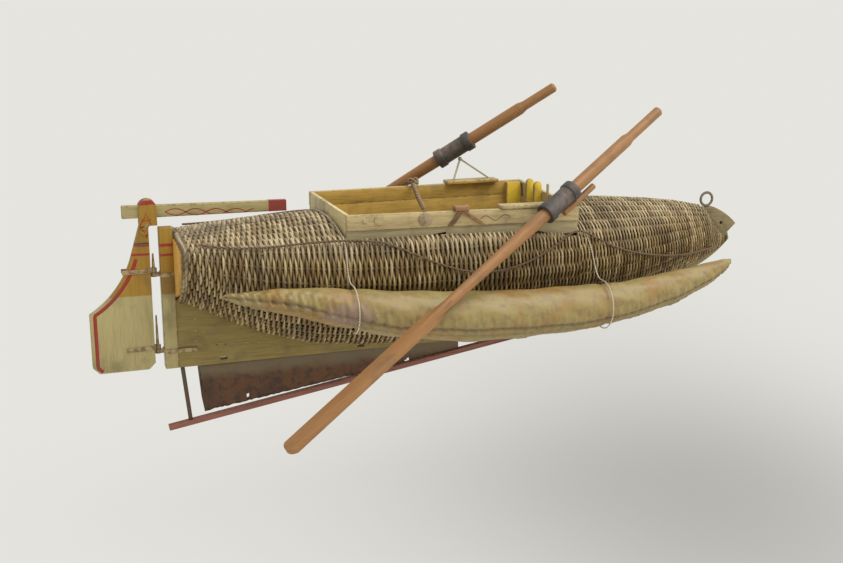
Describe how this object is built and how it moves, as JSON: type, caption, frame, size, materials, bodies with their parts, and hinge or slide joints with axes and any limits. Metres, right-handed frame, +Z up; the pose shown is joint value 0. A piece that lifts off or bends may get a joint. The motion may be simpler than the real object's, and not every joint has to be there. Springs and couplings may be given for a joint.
{
  "type": "model lifeboat",
  "caption": "Model lifeboat with a basketwork hull, open cockpit, leather air floats, hanging rudder with tiller, hinged drop keel and oars in swivelling sleeves.",
  "frame": {"origin": "on the centre plane, amidships, at the height of the painted waterline; the hull is held there by the water, or by a stand", "axes": "+X to the bow, +Y to port, +Z up"},
  "size_m": [0.68, 0.4325, 0.3151],
  "materials": {
    "bar_wood": "worn",
    "brown_cord": "matte",
    "dark_leather": "matte",
    "float_skin": "satin",
    "iron": "worn",
    "ochre_wood": "worn",
    "orange_wood": "worn",
    "painted_wood": "worn",
    "red_wood": "satin",
    "white_cord": "matte",
    "wicker": "weathered"
  },
  "bodies": {
    "hull": {"bow_ring": "iron", "coaming_board_aft": "ochre_wood", "coaming_board_fore": "ochre_wood", "coaming_board_port": "ochre_wood", "coaming_board_starboard": "ochre_wood", "coaming_rail_port": "ochre_wood", "coaming_rail_starboard": "ochre_wood", "deadwood": "painted_wood", "drop_hinge_block": "painted_wood", "drop_hinge_pin": "iron", "drop_web": "dark_leather", "float_port": "float_skin", "float_starboard": "float_skin", "floor_boards": "ochre_wood", "gudgeon_lower": "iron", "gudgeon_upper": "iron", "hull_basket": "wicker", "keel": "painted_wood", "lashing_tab": "dark_leather", "lifeline_port": "brown_cord", "lifeline_starboard": "brown_cord", "oar_lashing_1": "white_cord", "oar_lashing_2": "white_cord", "rail_thong": "dark_leather", "rope_cross_lashing": "brown_cord", "stem": "painted_wood", "sternpost": "painted_wood", "thole_board_port": "ochre_wood", "thole_board_starboard": "ochre_wood", "thwart_1": "ochre_wood", "thwart_2": "ochre_wood", "tie_cord_aft": "white_cord", "tie_cord_fore": "white_cord", "transom_board": "orange_wood"},
    "rudder_body": {"rudder": "painted_wood", "rudder_strap_lower": "iron", "rudder_strap_upper": "iron", "tiller": "painted_wood"},
    "drop_keel": {"drop_bar": "bar_wood", "drop_rod": "iron"},
    "oar_swivel_starboard": {"oar_knot_starboard": "white_cord"},
    "oar_sleeve_starboard": {"sleeve_splint_starboard": "painted_wood", "sleeve_starboard": "dark_leather"},
    "oar_starboard_body": {"oar_starboard": "red_wood"},
    "oar_swivel_port": {"oar_knot_port": "white_cord"},
    "oar_sleeve_port": {"sleeve_port": "dark_leather"},
    "oar_port_body": {"oar_port": "red_wood"}
  },
  "joints": [
    {"name": "rudder_turn", "type": "hinge", "parent": "hull", "child": "rudder_body", "pos_m": [-0.262, 0, 0], "axis": [0, 0, 1], "range_deg": [-35, 35]},
    {"name": "drop_keel_raise", "type": "hinge", "parent": "hull", "child": "drop_keel", "pos_m": [0.097, 0, -0.0757], "axis": [0, 1, 0], "range_deg": [0, 8], "deforming": ["drop_web"]},
    {"name": "oar_sweep_starboard", "type": "hinge", "parent": "hull", "child": "oar_swivel_starboard", "pos_m": [0.10679, -0.07574, 0.07542], "axis": [0, 0, 1], "range_deg": [0, 8]},
    {"name": "oar_dip_starboard", "type": "hinge", "parent": "oar_swivel_starboard", "child": "oar_sleeve_starboard", "pos_m": [0.10679, -0.07574, 0.07542], "axis": [-0.3546, 0.935, 0], "range_deg": [0, 6]},
    {"name": "oar_feather_starboard", "type": "hinge", "parent": "oar_sleeve_starboard", "child": "oar_starboard_body", "pos_m": [0.108, -0.086, 0.08], "axis": [0.8202, 0.3111, 0.4801], "range_deg": [-90, 90]},
    {"name": "oar_sweep_port", "type": "hinge", "parent": "hull", "child": "oar_swivel_port", "pos_m": [0.06948, 0.07722, 0.10052], "axis": [0, 0, 1], "range_deg": [-8, 8]},
    {"name": "oar_dip_port", "type": "hinge", "parent": "oar_swivel_port", "child": "oar_sleeve_port", "pos_m": [0.06948, 0.07722, 0.10052], "axis": [0.452, 0.892, 0], "range_deg": [-6, 6]},
    {"name": "oar_feather_port", "type": "hinge", "parent": "oar_sleeve_port", "child": "oar_port_body", "pos_m": [0.064, 0.08, 0.11], "axis": [0.7485, -0.3793, 0.5439], "range_deg": [-90, 90]}
  ]
}
